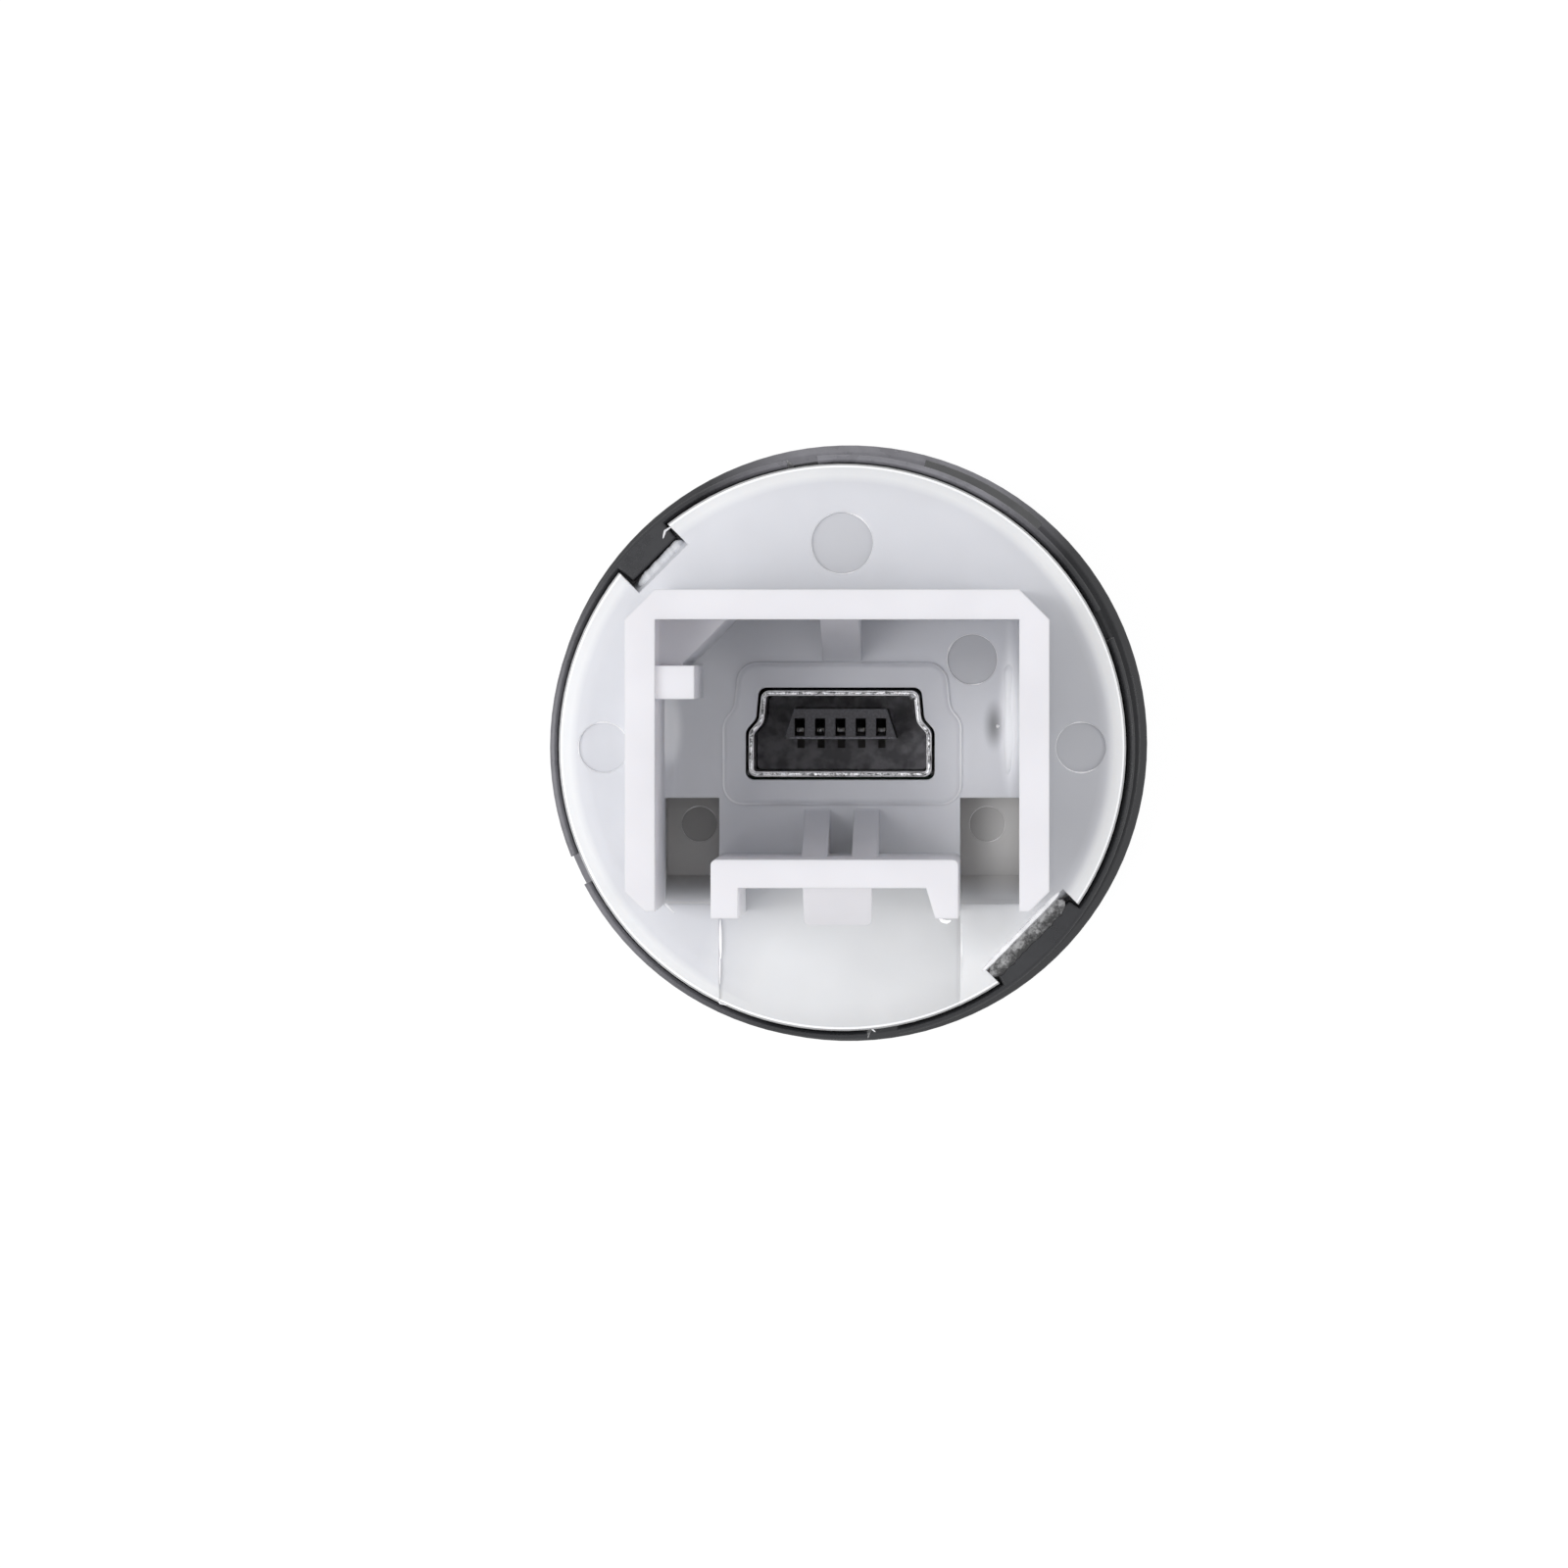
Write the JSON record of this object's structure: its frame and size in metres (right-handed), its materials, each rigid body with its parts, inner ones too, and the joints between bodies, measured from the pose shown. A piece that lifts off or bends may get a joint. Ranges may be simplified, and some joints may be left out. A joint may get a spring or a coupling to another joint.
{
  "type": "panel usb socket",
  "caption": "Round panel USB socket: a USB-A opening in the front face, and a mini-USB connector inside a keyed shroud with a latch ramp at the rear.",
  "frame": {"origin": "middle of the flat front face, on which the part stands", "axes": "+Z along the barrel's axis, from the front face to the rear connector; +Y towards the side of the shroud that has the roof wall; +X to the right in the rear view"},
  "size_m": [0.0242, 0.0242, 0.0402],
  "materials": {
    "black_plastic": "satin",
    "natural_nylon": "satin",
    "tinned_steel": "bright",
    "contact_metal": "plated",
    "laminate": "lacquered",
    "black_insulator": "matt",
    "chip_body": "matt"
  },
  "bodies": {
    "root": {"barrel_housing": "black_plastic", "usb_a_shell": "tinned_steel", "usb_a_insulator": "black_insulator", "usb_a_contact_1": "contact_metal", "usb_a_contact_2": "contact_metal", "usb_a_contact_3": "contact_metal", "usb_a_contact_4": "contact_metal", "circuit_board": "laminate", "mini_usb_shell": "tinned_steel", "mini_usb_insulator": "black_insulator", "mini_usb_contact_1": "contact_metal", "mini_usb_contact_2": "contact_metal", "mini_usb_contact_3": "contact_metal", "mini_usb_contact_4": "contact_metal", "mini_usb_contact_5": "contact_metal", "common_mode_choke": "chip_body", "esd_array": "chip_body", "filter_capacitor": "chip_body", "ferrite_bead": "chip_body", "rear_cap": "natural_nylon"}
  },
  "joints": []
}
